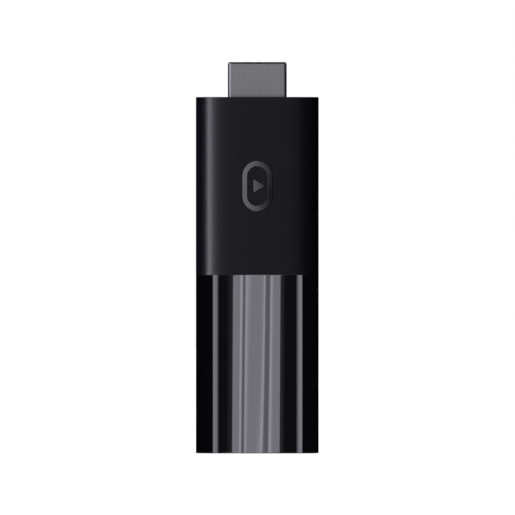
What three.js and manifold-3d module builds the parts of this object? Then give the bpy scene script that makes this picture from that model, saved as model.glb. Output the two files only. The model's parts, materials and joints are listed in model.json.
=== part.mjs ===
// Streaming media stick: a slim bar in two sleeves, matte over gloss, with a 19-contact type A audio-video
// plug at its upper end and a micro-B power socket low on its right side. The board, its shields, heat
// spreaders and connectors ride on a plastic carrier that slides into the lower sleeve, and the upper
// sleeve snaps over its spigot.
//
// Frame: millimetres, +Z along the stick towards the plug, -Y out of the front face, +X to the right.
// The origin is the centre of the flat bottom end.

import * as THREE from "three";
import { mergeVertices } from "three/addons/utils/BufferGeometryUtils.js";
import Module from "manifold-3d";

const wasm = await Module();
wasm.setup();

// Enclosure
const BODY_WIDTH = 29.0;
const BODY_DEPTH = 15.2;
const BODY_LENGTH = 84.1;
const SPLIT_Z = BODY_LENGTH / 2; // the two sleeves meet half way along
const SQUARENESS = 4; // exponent of the superellipse that both sleeves are extruded from
const SECTION_SIDES = 96;
const WALL = 1.3;
const END_WALL = 1.5;
const EDGE_BREAK = 0.3; // chamfer round both flat ends
const SEAM_GAP = 0.1;
const SPIGOT_HEIGHT = 3.4;
const SPIGOT_ROOT = 1; // how far its solid runs down behind the sleeve's end
const SPIGOT_INSET = 0.7; // from the outer surface to the spigot's outside
const REBATE_INSET = 0.63; // from the outer surface to the wall that the spigot slides in
const REBATE_ROOM = 0.2; // above the spigot's end
const SNAP_X = 6.0;
const SNAP_WIDTH = 3.0;
const SNAP_HEIGHT = 0.8;
const SNAP_Z = SPLIT_Z + 1.8;
const SNAP_CREST = 0.5; // from the outer surface to the top of a snap bump
const SNAP_THICKNESS = 0.6;
const SNAP_PLAY = 0.15; // round a bump, in its pocket
const GUIDE_Y = 1.85; // the carrier's rails slide between ribs at plus and minus this
const GUIDE_THICKNESS = 0.6;
const GUIDE_X = 12.4; // inner edge of the guide ribs
const UPPER_GUIDE_Z = SPLIT_Z + SPIGOT_HEIGHT + 1; // where the upper sleeve's ribs begin
const BOARD_STOP = { width: 4, depth: 2 }; // the post that the board's end rests on
const KEYWAY = { inner: 12.6, outer: 13.55, halfDepth: 1.75 }; // the socket's mouth slides down in it

// Joining and cutting
const BITE = 0.1; // how far two shapes run into each other where they are joined
const PAST = 1; // how far a cutter runs past the face that it opens

// Emblem: a capsule outline round a small arrow, flush in the front of the upper sleeve
const EMBLEM_WIDTH = 7.2;
const EMBLEM_HEIGHT = 11.9;
const EMBLEM_STROKE = 1.3;
const EMBLEM_Z = (SPLIT_Z + BODY_LENGTH) / 2;
const EMBLEM_THICKNESS = 0.3;
const EMBLEM_SINK = 0.02; // how far its face lies below the crown of the sleeve
const EMBLEM_GAP = 0.05; // round and behind it, in its pocket
const ARROW_RADIUS = 2.0;
const ARROW_CORNER = 0.35;

// Type A audio-video plug
const PLUG_WIDTH = 13.9;
const PLUG_DEPTH = 4.45;
const PLUG_REACH = 8.3; // metal that stands out of the end
const PLUG_TIP_Z = BODY_LENGTH + PLUG_REACH;
const PLUG_REAR_Z = 75.6;
const PLUG_SHEET = 0.3;
const PLUG_CORNER = 0.8;
const PLUG_CHAMFER_WIDTH = 1.35; // sloped corners along the plug's rear side
const PLUG_CHAMFER_DEPTH = 1.55;
const PLUG_CLEARANCE = 0.15; // round the plug, in the end wall
const PLUG_PLAY = 0.04; // between the shell and the mouldings inside it
const MATING_WIDTH = 11.5; // the slot that takes the socket's tongue, with a row of contacts on each wall
const MATING_DEPTH = 2.5;
const MATING_FLOOR_Z = 80;
const LINING_SETBACK = 0.5; // from the shell's tip to the moulding inside it
const HOLDER_REAR_Z = PLUG_REAR_Z + 0.4;
const EAR = { reach: 1.9, front: -1.6, rear: 0.6, gap: 0.6, thickness: 0.4 }; // under the end wall
const PLUG_TAB = { front: -1.2, rear: 0.6, depth: 2.5 }; // soldered into slots at the board's end
const LATCH_WINDOW = { x: 3.3, width: 2.2, low: 87.3, high: 89.0 };
const CONTACT_Y = 1.0; // middle of a contact's thickness, from the plug's middle plane
const CONTACT_PLAY = 0.05; // round a row of contacts, in the holder
const CONTACT_BUMP = 0.22; // how far a contact bows in to meet the socket's tongue
const CONTACT_TAIL = { y: 0.55, length: 2.0 }; // soldered to the board
const CONTACT_PITCH = 1.0;
const CONTACT_WIDTH = 0.45;
const CONTACT_THICKNESS = 0.2;
const FRONT_CONTACTS = 10;
const REAR_CONTACTS = 9;

// Micro-B power socket, mouth towards +X
const SOCKET_Z = 15;
const SOCKET_WIDTH = 7.4; // along Z
const SOCKET_HEIGHT = 2.5; // along Y
const SOCKET_SHEET = 0.25;
const SOCKET_REAR_X = 8.6;
const SOCKET_MOUTH_X = 13.4;
const SOCKET_FLARE = 0.35;
const SOCKET_OPENING_GAP = 0.2;
const SOCKET_LIP = 0.3; // length of the flared mouth
const SOCKET_CORE_X = 9.5; // floor of the bore
const TONGUE = { tip: 12.6, front: -0.3, rear: 0.4, halfWidth: 1.9 };
const SOCKET_PIN_PITCH = 0.65;
const SOCKET_PINS = 5;
const SOCKET_PIN = { width: 0.3, thickness: 0.12, tailX: 7.0, tailY: -0.52, tipX: 12.3, tipY: -0.4 };

// Board and what stands on it
const BOARD_WIDTH = 24;
const BOARD_THICKNESS = 0.8;
const BOARD_BOTTOM_Z = 5;
const BOARD_TOP_Z = 74;
const SOLDER = 0.05; // gap under every soldered part
const FRONT_FACE = -BOARD_THICKNESS / 2;
const REAR_FACE = BOARD_THICKNESS / 2;
const LIP = 0.2; // sheet of the shields
const FENCE = { width: 21.2, low: 21.5, high: 57.5, height: 1.6 };
const REAR_CAN = { width: 18, low: 25, high: 51, height: 1.85 };
const SCREWS = [
  { x: -9.3, z: 9.0 },
  { x: 9.3, z: 66.5 },
];
const SCREW = { head: 1.3, headHeight: 0.55, shank: 0.7, length: 2.9 };
const PORT_NOTCH = { inner: 7.9, halfWidth: 4.1 }; // where the socket sits in the board's edge
const LED_Z = 7;
const PIPE_RADIUS = 0.6;
const PIPE_BLOCK = { inner: 12.0, outer: 12.7, front: -1.4, rear: 0.75, halfHeight: 1.1 };
const ANTENNA = { width: 6, low: 5.8, high: 9.4, height: 2.8, sheet: 0.2, foot: 1.2 };
const ANTENNA_LEG = [6.8, 8.4];

// Cooling: a pad and a folded aluminium plate on each side of the board
const SPREADER = { thickness: 0.8, flat: 9.0, wing: 11.0, fold: 0.9, low: 20, high: 62 };
const FRONT_SPREADER_Y = -4.7;
const REAR_SPREADER_Y = 4.3;

// Carrier rails, outside the board's long edges
const RAIL_X = 12.15;
const RAIL_THICKNESS = 0.6;
const RAIL_DEPTH = 3.4;
const RAIL_TOP_Z = BODY_LENGTH - END_WALL - 0.2;
const LEFT_RAIL_Z = 4.9; // lower end of the left rail
const RIGHT_RAIL_Z = 21; // the right rail starts above the power socket
const ARM = { inner: 7.2, low: 79.4, high: 81.3 }; // reaches from a rail to the plug's side
const BAR_REAR_Y = 3.2; // the bars lie behind the board
const BOTTOM_BAR = { right: 6.5, low: 5.4, high: 11.4 };
const TOP_BAR = { low: 63.5, high: 69.5 };
const BORE_DEPTH = 2.7;

const MATERIALS = {
  matteHousing: material(0x1d1c22, 0.5, 0),
  glossHousing: material(0x08080c, 0.08, 0),
  emblem: material(0x2a2a2e, 0.08, 0),
  plugMetal: material(0x737277, 0.35, 1),
  connectorPlastic: material(0x121214, 0.5, 0),
  contactGold: material(0xc9a24a, 0.25, 1),
  board: material(0x0d3a26, 0.45, 0),
  chip: material(0x17181a, 0.6, 0),
  shieldMetal: material(0xa9abad, 0.35, 1),
  ferrite: material(0x2f3032, 0.7, 0),
  thermalPad: material(0x8a9aa8, 0.9, 0),
  aluminium: material(0xb4b6b8, 0.4, 1),
  carrier: material(0x242528, 0.6, 0),
  screwSteel: material(0x6d6e70, 0.3, 1),
  led: material(0xe8e6d8, 0.3, 0),
  lightPipe: material(0xe9edf0, 0.1, 0),
};

function material(color, roughness, metalness) {
  return new THREE.MeshStandardMaterial({ color, roughness, metalness });
}

// ---- outlines: convex, counter-clockwise lists of Vector2 ----

function superellipse(halfWidth, halfDepth) {
  const points = [];
  for (let i = 0; i < SECTION_SIDES; i++) {
    const angle = (2 * Math.PI * (i + 0.5)) / SECTION_SIDES;
    const c = Math.cos(angle);
    const s = Math.sin(angle);
    const sum = Math.abs(c) ** SQUARENESS + Math.abs(s) ** SQUARENESS;
    const reach = sum ** (-1 / SQUARENESS);
    points.push(new THREE.Vector2(halfWidth * c * reach, halfDepth * s * reach));
  }
  return points;
}

function rectangle(width, height, x = 0, y = 0) {
  const signs = [[-1, -1], [1, -1], [1, 1], [-1, 1]];
  return signs.map(([i, j]) => new THREE.Vector2(x + (i * width) / 2, y + (j * height) / 2));
}

function circle(radius, x = 0, y = 0, sides = 32) {
  return Array.from({ length: sides }, (_, i) => {
    const angle = (2 * Math.PI * (i + 0.5)) / sides;
    return new THREE.Vector2(x + radius * Math.cos(angle), y + radius * Math.sin(angle));
  });
}

function shifted(outline, x, y) {
  return outline.map((point) => new THREE.Vector2(point.x + x, point.y + y));
}

// Moves every edge of an outline inwards by distance, or outwards if it is negative.
function inset(outline, distance) {
  const count = outline.length;
  const inward = (from, to) => new THREE.Vector2(from.y - to.y, to.x - from.x).normalize();
  return outline.map((point, i) => {
    const first = inward(outline[(i + count - 1) % count], point);
    const second = inward(point, outline[(i + 1) % count]);
    const mitre = first.clone().add(second);
    return point.clone().add(mitre.multiplyScalar(distance / (1 + first.dot(second))));
  });
}

// Replaces each corner of an outline with an arc.
function rounded(corners, radius, steps = 4) {
  const count = corners.length;
  return corners.flatMap((corner, i) => {
    const toLast = corners[(i + count - 1) % count].clone().sub(corner).normalize();
    const toNext = corners[(i + 1) % count].clone().sub(corner).normalize();
    const half = Math.acos(toLast.dot(toNext)) / 2;
    const middle = toLast.clone().add(toNext).normalize();
    const centre = corner.clone().add(middle.multiplyScalar(radius / Math.sin(half)));
    const start = corner.clone().add(toLast.multiplyScalar(radius / Math.tan(half)));
    const from = Math.atan2(start.y - centre.y, start.x - centre.x);
    return Array.from({ length: steps + 1 }, (_, k) => {
      const angle = from + ((Math.PI - 2 * half) * k) / steps;
      return new THREE.Vector2(Math.cos(angle), Math.sin(angle)).multiplyScalar(radius).add(centre);
    });
  });
}

// Outline of a sheet strip of even thickness that follows a path.
function strip(path, thickness) {
  const points = path.map(([x, y]) => new THREE.Vector2(x, y));
  const side = (sign) =>
    points.map((point, i) => {
      const back = points[Math.max(i - 1, 0)];
      const ahead = points[Math.min(i + 1, points.length - 1)];
      const along = ahead.clone().sub(back).normalize();
      return new THREE.Vector2(-along.y, along.x).multiplyScalar((sign * thickness) / 2).add(point);
    });
  return [...side(-1), ...side(1).reverse()];
}

// A rectangle with two sloped corners on its +second side, as both connectors have.
function dOutline(width, depth, slopeWidth, slopeDepth) {
  const w = width / 2;
  const d = depth / 2;
  const corners = [[-w, -d], [w, -d], [w, d - slopeDepth], [w - slopeWidth, d]];
  corners.push([slopeWidth - w, d], [-w, d - slopeDepth]);
  return corners.map(([x, y]) => new THREE.Vector2(x, y));
}

// ---- solids ----

const X = new THREE.Vector3(1, 0, 0);
const Y = new THREE.Vector3(0, 1, 0);
const Z = new THREE.Vector3(0, 0, 1);
const TURN = {
  x: new THREE.Matrix4().makeBasis(Y, Z, X), // outline in (Y, Z)
  y: new THREE.Matrix4().makeBasis(X, Z, Y.clone().negate()), // outline in (X, Z)
  z: new THREE.Matrix4(), // outline in (X, Y)
};

// Extrudes an outline along an axis, from low to high.
function prism(axis, outline, low, high, holes = []) {
  const shape = new THREE.Shape(outline);
  shape.holes = holes.map((hole) => new THREE.Path(hole));
  const geometry = new THREE.ExtrudeGeometry(shape, { depth: high - low, bevelEnabled: false });
  geometry.applyMatrix4(TURN[axis]);
  const start = { x: [low, 0, 0], y: [0, high, 0], z: [0, 0, low] }[axis];
  return geometry.translate(...start);
}

// A closed solid through convex outlines that have equal numbers of points, stacked along Z.
function loft(levels) {
  const sides = levels[0].outline.length;
  const positions = levels.flatMap(({ z, outline }) => outline.flatMap(({ x, y }) => [x, y, z]));
  const indices = [];
  for (let level = 0; level < levels.length - 1; level++)
    for (let i = 0; i < sides; i++) {
      const a = level * sides + i;
      const b = level * sides + ((i + 1) % sides);
      indices.push(a, b, b + sides, a, b + sides, a + sides);
    }
  const top = (levels.length - 1) * sides;
  for (let i = 1; i < sides - 1; i++) indices.push(0, i + 1, i, top, top + i, top + i + 1);
  const geometry = new THREE.BufferGeometry();
  geometry.setAttribute("position", new THREE.Float32BufferAttribute(positions, 3));
  geometry.setIndex(indices);
  return geometry;
}

// The near and the far limit on one side of the middle, in rising order.
function limits(side, near, far) {
  return [side * near, side * far].sort((a, b) => a - b);
}

// A box between pairs of limits along X, Y and Z.
function block([x0, x1], [y0, y1], [z0, z1]) {
  const geometry = new THREE.BoxGeometry(x1 - x0, y1 - y0, z1 - z0);
  return geometry.translate((x0 + x1) / 2, (y0 + y1) / 2, (z0 + z1) / 2);
}

function solidOf(geometry) {
  const bare = geometry.clone();
  bare.deleteAttribute("normal");
  bare.deleteAttribute("uv");
  const merged = mergeVertices(bare, 1e-5);
  const mesh = new wasm.Mesh({
    numProp: 3,
    vertProperties: merged.attributes.position.array,
    triVerts: new Uint32Array(merged.index.array),
  });
  return new wasm.Manifold(mesh);
}

function geometryOf(solid) {
  const mesh = solid.getMesh();
  const geometry = new THREE.BufferGeometry();
  geometry.setAttribute("position", new THREE.BufferAttribute(mesh.vertProperties, 3));
  geometry.setIndex(new THREE.BufferAttribute(mesh.triVerts, 1));
  geometry.computeVertexNormals();
  return geometry;
}

function joined(...geometries) {
  return geometryOf(geometries.map(solidOf).reduce((whole, next) => whole.add(next)));
}

function carved(base, ...tools) {
  return geometryOf(tools.map(solidOf).reduce((whole, tool) => whole.subtract(tool), solidOf(base)));
}

function part(name, geometry, finish) {
  const mesh = new THREE.Mesh(geometry, finish);
  mesh.name = name;
  return mesh;
}

// A box-shaped part standing on the board's front or rear face, centred on x and z.
function onBoard(name, side, x, z, [width, length, height], finish) {
  const mesh = part(name, new THREE.BoxGeometry(width, height, length), finish);
  const outward = side === "front" ? -1 : 1;
  mesh.position.set(x, outward * (BOARD_THICKNESS / 2 + SOLDER + height / 2), z);
  return mesh;
}

function group(...children) {
  const holder = new THREE.Group();
  holder.add(...children);
  return holder;
}

// ---- enclosure ----

const SECTION = superellipse(BODY_WIDTH / 2, BODY_DEPTH / 2);
const PLUG_SECTION = rounded(
  dOutline(PLUG_WIDTH, PLUG_DEPTH, PLUG_CHAMFER_WIDTH, PLUG_CHAMFER_DEPTH),
  PLUG_CORNER,
);
const SOCKET_SECTION = dOutline(SOCKET_WIDTH, SOCKET_HEIGHT, 0.95, 0.9).map(
  ({ x, y }) => new THREE.Vector2(y, -x), // turned so that its first axis is Y and its second is Z
);

// Both snaps on the front and both on the rear, grown by a clearance for their pockets.
function snaps(clearance) {
  const crest = BODY_DEPTH / 2 - SNAP_CREST + clearance / 2;
  const half = SNAP_WIDTH / 2 + clearance;
  const zs = [SNAP_Z - SNAP_HEIGHT / 2 - clearance, SNAP_Z + SNAP_HEIGHT / 2 + clearance];
  return [-SNAP_X, SNAP_X].flatMap((x) =>
    [-1, 1].map((side) => block([x - half, x + half], limits(side, crest - SNAP_THICKNESS, crest), zs)),
  );
}

// A pair of ribs on one side wall, which a carrier rail slides between.
function guides(side, low, high) {
  const xs = limits(side, GUIDE_X, BODY_WIDTH / 2 - WALL + 4 * BITE);
  return [-1, 1].map((face) => block(xs, limits(face, GUIDE_Y, GUIDE_Y + GUIDE_THICKNESS), [low, high]));
}

function emblemRingOutline() {
  const radius = EMBLEM_WIDTH / 2;
  const upright = EMBLEM_HEIGHT / 2 - radius;
  return circle(radius, 0, 0, 48).map(
    ({ x, y }) => new THREE.Vector2(x, EMBLEM_Z + y + Math.sign(y) * upright),
  );
}

function emblemArrowOutline() {
  const corners = [0, 1, 2].map((i) => {
    const angle = (2 * Math.PI * i) / 3;
    return new THREE.Vector2(Math.cos(angle), Math.sin(angle)).multiplyScalar(ARROW_RADIUS);
  });
  return rounded(shifted(corners, 0, EMBLEM_Z), ARROW_CORNER);
}

function upperHousing() {
  const low = SPLIT_Z + SEAM_GAP / 2;
  const inside = BODY_LENGTH - END_WALL;
  const shell = carved(
    loft([
      { z: low, outline: SECTION },
      { z: BODY_LENGTH - EDGE_BREAK, outline: SECTION },
      { z: BODY_LENGTH, outline: inset(SECTION, EDGE_BREAK) },
    ]),
    prism("z", inset(SECTION, WALL), low - PAST, inside),
    prism("z", inset(SECTION, REBATE_INSET), low - PAST, SPLIT_Z + SPIGOT_HEIGHT + REBATE_ROOM),
    prism("z", inset(PLUG_SECTION, -PLUG_CLEARANCE), inside - PAST, BODY_LENGTH + PAST),
    ...snaps(SNAP_PLAY),
  );
  const ribs = [-1, 1].flatMap((side) => guides(side, UPPER_GUIDE_Z, inside + BITE));
  const front = -BODY_DEPTH / 2;
  const floor = front + EMBLEM_SINK + EMBLEM_THICKNESS + EMBLEM_GAP;
  const ring = emblemRingOutline();
  const island = inset(ring, EMBLEM_STROKE + EMBLEM_GAP);
  return carved(
    joined(shell, ...ribs),
    prism("y", inset(ring, -EMBLEM_GAP), front - PAST, floor, [island]),
    prism("y", inset(emblemArrowOutline(), -EMBLEM_GAP), front - PAST, floor),
  );
}

function lowerHousing() {
  const top = SPLIT_Z - SEAM_GAP / 2;
  const spigotTop = SPLIT_Z + SPIGOT_HEIGHT;
  const sleeve = joined(
    loft([
      { z: 0, outline: inset(SECTION, EDGE_BREAK) },
      { z: EDGE_BREAK, outline: SECTION },
      { z: top, outline: SECTION },
    ]),
    prism("z", inset(SECTION, SPIGOT_INSET), top - SPIGOT_ROOT, spigotTop),
    ...snaps(0),
  );
  const cup = carved(sleeve, prism("z", inset(SECTION, WALL), END_WALL, spigotTop + PAST));
  const floor = END_WALL - BITE;
  const half = RAIL_DEPTH / 2;
  const sideWall = WALL - 3 * BITE - BODY_WIDTH / 2;
  const railStop = block([sideWall, -RAIL_X], [-half, half], [floor, LEFT_RAIL_Z - 0.1]);
  const boardStop = block(
    [-BOARD_STOP.width / 2, BOARD_STOP.width / 2],
    [-BOARD_STOP.depth / 2, BOARD_STOP.depth / 2],
    [floor, BOARD_BOTTOM_Z - SOLDER],
  );
  const ribTop = top - SPIGOT_ROOT;
  const ribs = [...guides(-1, floor, ribTop), ...guides(1, RIGHT_RAIL_Z, ribTop)];
  const opening = rounded(inset(SOCKET_SECTION, -SOCKET_FLARE - SOCKET_OPENING_GAP), 0.5);
  const inside = BODY_WIDTH / 2 - WALL - PAST;
  const outside = BODY_WIDTH / 2 + PAST;
  const keyDepth = [-KEYWAY.halfDepth, KEYWAY.halfDepth];
  return carved(
    joined(cup, railStop, boardStop, ...ribs),
    prism("x", shifted(opening, 0, SOCKET_Z), inside, outside),
    prism("x", circle(PIPE_RADIUS + 0.05, 0, LED_Z, 24), inside, outside),
    block([KEYWAY.inner, KEYWAY.outer], keyDepth, [SOCKET_Z, spigotTop + PAST]),
  );
}

function emblem() {
  const face = -BODY_DEPTH / 2 + EMBLEM_SINK;
  const back = face + EMBLEM_THICKNESS;
  const ring = emblemRingOutline();
  return group(
    part("emblem_ring", prism("y", ring, face, back, [inset(ring, EMBLEM_STROKE)]), MATERIALS.emblem),
    part("emblem_arrow", prism("y", emblemArrowOutline(), face, back), MATERIALS.emblem),
  );
}

// ---- audio-video plug ----

function plugShell() {
  const tube = prism("z", PLUG_SECTION, PLUG_REAR_Z, PLUG_TIP_Z, [inset(PLUG_SECTION, PLUG_SHEET)]);
  const half = PLUG_WIDTH / 2;
  const earTop = BODY_LENGTH - END_WALL - EAR.gap;
  const ears = [-1, 1].map((side) => {
    const xs = limits(side, half - PLUG_SHEET / 2, half + EAR.reach);
    return block(xs, [EAR.front, EAR.rear], [earTop - EAR.thickness, earTop]);
  });
  const tabs = [-1, 1].map((side) => {
    const zs = [BOARD_TOP_Z - PLUG_TAB.depth, PLUG_REAR_Z + BITE];
    return block(limits(side, half - PLUG_SHEET, half), [PLUG_TAB.front, PLUG_TAB.rear], zs);
  });
  const latchWindows = [-1, 1].map((side) => {
    const { x, width, low, high } = LATCH_WINDOW;
    const ys = [PLUG_DEPTH / 2 - PLUG_SHEET - 4 * BITE, PLUG_DEPTH / 2 + PAST];
    return block(limits(side, x - width / 2, x + width / 2), ys, [low, high]);
  });
  return carved(joined(tube, ...ears, ...tabs), ...latchWindows);
}

// Where each contact lies across the plug, and which row it is in.
function contactPlaces() {
  const row = (count, side) =>
    Array.from({ length: count }, (_, i) => ({ x: (i - (count - 1) / 2) * CONTACT_PITCH, side }));
  return [...row(FRONT_CONTACTS, -1), ...row(REAR_CONTACTS, 1)];
}

// Moulded lining of the plug's front, open at both ends.
function plugInsulator() {
  const outline = inset(PLUG_SECTION, PLUG_SHEET + PLUG_PLAY);
  const slot = rectangle(MATING_WIDTH, MATING_DEPTH);
  return prism("z", outline, MATING_FLOOR_Z + PLUG_PLAY, PLUG_TIP_Z - LINING_SETBACK, [slot]);
}

// Moulded block behind the lining. It closes the slot, and each row of contacts runs through a slit in it.
function plugContactHolder() {
  const body = prism("z", inset(PLUG_SECTION, PLUG_SHEET + PLUG_PLAY), HOLDER_REAR_Z, MATING_FLOOR_Z);
  const near = CONTACT_Y - CONTACT_THICKNESS / 2 - 3 * CONTACT_PLAY; // room for the jog
  const far = CONTACT_Y + CONTACT_THICKNESS / 2 + CONTACT_PLAY;
  const zs = [HOLDER_REAR_Z - PAST, MATING_FLOOR_Z + PAST];
  const slits = [-1, 1].map((side) => {
    const count = side < 0 ? FRONT_CONTACTS : REAR_CONTACTS;
    const half = ((count - 1) * CONTACT_PITCH + CONTACT_WIDTH) / 2 + CONTACT_PLAY;
    return block([-half, half], limits(side, near, far), zs);
  });
  return carved(body, ...slits);
}

// A spring contact: a tail on the board, a jog into the holder, and a bump that presses on the socket.
function plugContact({ x, side }, index) {
  const path = [
    [CONTACT_TAIL.y, BOARD_TOP_Z - CONTACT_TAIL.length],
    [CONTACT_TAIL.y, BOARD_TOP_Z + 0.6],
    [CONTACT_Y, HOLDER_REAR_Z + 0.4],
    [CONTACT_Y, PLUG_TIP_Z - 4.8],
    [CONTACT_Y - CONTACT_BUMP, PLUG_TIP_Z - 3.2],
    [CONTACT_Y + 0.02, PLUG_TIP_Z - 1.5],
  ].map(([y, z]) => [side * y, z]);
  const outline = strip(path, CONTACT_THICKNESS);
  const geometry = prism("x", outline, x - CONTACT_WIDTH / 2, x + CONTACT_WIDTH / 2);
  const number = String(index + 1).padStart(2, "0");
  return part(`plug_contact_${number}`, geometry, MATERIALS.contactGold);
}

function videoPlug() {
  return group(
    part("plug_shell", plugShell(), MATERIALS.plugMetal),
    part("plug_insulator", plugInsulator(), MATERIALS.connectorPlastic),
    part("plug_contact_holder", plugContactHolder(), MATERIALS.connectorPlastic),
    ...contactPlaces().map(plugContact),
  );
}

// ---- power socket ----

function socketShell() {
  const outline = shifted(SOCKET_SECTION, 0, SOCKET_Z);
  const bore = inset(outline, SOCKET_SHEET);
  return joined(
    prism("x", outline, SOCKET_REAR_X, SOCKET_MOUTH_X, [bore]),
    prism("x", inset(outline, -SOCKET_FLARE), SOCKET_MOUTH_X - SOCKET_LIP, SOCKET_MOUTH_X, [bore]),
  );
}

function socketPinZ(index) {
  return SOCKET_Z + (index - (SOCKET_PINS - 1) / 2) * SOCKET_PIN_PITCH;
}

function socketTongue() {
  const outline = shifted(inset(SOCKET_SECTION, SOCKET_SHEET + PLUG_PLAY), 0, SOCKET_Z);
  const core = prism("x", outline, SOCKET_REAR_X + BITE, SOCKET_CORE_X);
  const { tip, front, rear, halfWidth } = TONGUE;
  const zs = [SOCKET_Z - halfWidth, SOCKET_Z + halfWidth];
  const tongue = block([SOCKET_CORE_X - BITE, tip], [front, rear], zs);
  const half = SOCKET_PIN.width / 2 + 0.07;
  const slots = Array.from({ length: SOCKET_PINS }, (_, i) =>
    block([8, 10], [SOCKET_PIN.tailY - 0.2, front], [socketPinZ(i) - half, socketPinZ(i) + half]),
  );
  return carved(joined(core, tongue), ...slots);
}

function socketContact(index) {
  const { width, thickness, tailX, tailY, tipX, tipY } = SOCKET_PIN;
  const path = [[tailX, tailY], [SOCKET_CORE_X - 0.5, tailY], [SOCKET_CORE_X + 0.1, tipY], [tipX, tipY]];
  const middle = socketPinZ(index);
  const geometry = prism("z", strip(path, thickness), middle - width / 2, middle + width / 2);
  return part(`power_socket_contact_${index + 1}`, geometry, MATERIALS.contactGold);
}

function powerSocket() {
  return group(
    part("power_socket_shell", socketShell(), MATERIALS.plugMetal),
    part("power_socket_tongue", socketTongue(), MATERIALS.connectorPlastic),
    ...Array.from({ length: SOCKET_PINS }, (_, i) => socketContact(i)),
  );
}

// ---- board ----

function mainBoard() {
  const length = BOARD_TOP_Z - BOARD_BOTTOM_Z;
  const outline = rounded(rectangle(BOARD_WIDTH, length, 0, BOARD_BOTTOM_Z + length / 2), 0.8);
  const through = [-PAST, PAST];
  const { inner, halfWidth } = PORT_NOTCH;
  const xs = [inner, BOARD_WIDTH / 2 + PAST];
  const portNotch = block(xs, through, [SOCKET_Z - halfWidth, SOCKET_Z + halfWidth]);
  const play = 0.2;
  const tabSlots = [-1, 1].map((side) => {
    const tab = limits(side, PLUG_WIDTH / 2 - PLUG_SHEET - play, PLUG_WIDTH / 2 + play);
    return block(tab, through, [BOARD_TOP_Z - PLUG_TAB.depth - play, BOARD_TOP_Z + PAST]);
  });
  const screwHoles = SCREWS.map(({ x, z }) => prism("y", circle(SCREW.shank + play, x, z, 24), ...through));
  const plate = prism("y", outline, FRONT_FACE, REAR_FACE);
  return carved(plate, portNotch, ...tabSlots, ...screwHoles);
}

// A tray of thin sheet, open towards the board: its walls start at near and its floor ends at far.
function tray(width, low, high, near, far) {
  const sign = Math.sign(far - near);
  const outer = [near, far].sort((a, b) => a - b);
  const inner = [near - sign, far - sign * LIP].sort((a, b) => a - b);
  const half = width / 2;
  return carved(
    block([-half, half], outer, [low, high]),
    block([LIP - half, half - LIP], inner, [low + LIP, high - LIP]),
  );
}

function frontFence() {
  const { width, low, high, height } = FENCE;
  const outline = rectangle(width, high - low, 0, (low + high) / 2);
  const near = FRONT_FACE - SOLDER;
  return prism("y", outline, near - height, near, [inset(outline, LIP)]);
}

function frontLid() {
  const { width, low, high, height } = FENCE;
  const spread = LIP + 0.05;
  const near = FRONT_FACE - SOLDER - 0.6;
  const far = FRONT_FACE - SOLDER - height - 0.05 - LIP;
  return tray(width + 2 * spread, low - spread, high + spread, near, far);
}

function rearCan() {
  const { width, low, high, height } = REAR_CAN;
  return tray(width, low, high, REAR_FACE + SOLDER, REAR_FACE + SOLDER + height);
}

// A folded sheet antenna: a raised plate on one leg, with a soldered foot.
function antenna(name, x) {
  const { width, low, high, height, sheet, foot } = ANTENNA;
  const near = FRONT_FACE - SOLDER;
  const far = near - height;
  const left = x - width / 2;
  const geometry = joined(
    block([left, left + width], [far, far + sheet], [low, high]),
    block([left, left + sheet], [far, near], ANTENNA_LEG),
    block([left, left + foot], [near - sheet, near], ANTENNA_LEG),
  );
  return part(name, geometry, MATERIALS.shieldMetal);
}

function electronics() {
  const { chip, ferrite, shieldMetal, led } = MATERIALS;
  return group(
    part("main_board", mainBoard(), MATERIALS.board),
    onBoard("processor", "front", 0, 46.5, [13, 13, 1.1], chip),
    onBoard("memory_chip_1", "front", -4.8, 30, [7.5, 13.3, 1.0], chip),
    onBoard("memory_chip_2", "front", 4.8, 30, [7.5, 13.3, 1.0], chip),
    onBoard("storage_chip", "rear", 0, 38, [11.5, 13, 1.0], chip),
    onBoard("power_chip", "rear", -6, 16, [5, 5, 0.85], chip),
    onBoard("wireless_module", "front", 0, 64.8, [11.6, 11.6, 1.7], shieldMetal),
    onBoard("crystal", "front", -9, 60.8, [3.2, 2.5, 0.8], shieldMetal),
    onBoard("power_inductor_1", "front", -4, 15.5, [4.2, 4.2, 2.0], ferrite),
    onBoard("power_inductor_2", "front", 1.2, 15.5, [4.2, 4.2, 2.0], ferrite),
    onBoard("status_led", "front", 11.3, LED_Z, [0.8, 1.6, 0.7], led),
    antenna("antenna_1", -3.5),
    antenna("antenna_2", 4.5),
    part("front_shield_fence", frontFence(), shieldMetal),
    part("front_shield_lid", frontLid(), shieldMetal),
    part("rear_shield", rearCan(), shieldMetal),
  );
}

// ---- cooling ----

// A folded plate along the stick, with wings that bend back to follow the housing. Its flat lies at y.
function heatSpreader(y) {
  const { thickness, flat, wing, fold, low, high } = SPREADER;
  const back = y - Math.sign(y) * fold;
  const path = [[-wing, back], [-flat, y], [flat, y], [wing, back]];
  return prism("z", strip(path, thickness), low, high);
}

function cooling() {
  const { thermalPad, aluminium } = MATERIALS;
  return group(
    part("processor_pad", block([-6, 6], [-2.08, -1.6], [40.5, 52.5]), thermalPad),
    part("front_thermal_pad", block([-8, 8], [-4.2, -2.4], [28, 55]), thermalPad),
    part("front_heat_spreader", heatSpreader(FRONT_SPREADER_Y), aluminium),
    part("rear_thermal_pad", block([-7, 7], [2.4, 3.8], [27, 49]), thermalPad),
    part("rear_heat_spreader", heatSpreader(REAR_SPREADER_Y), aluminium),
  );
}

// ---- carrier and fasteners ----

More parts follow.
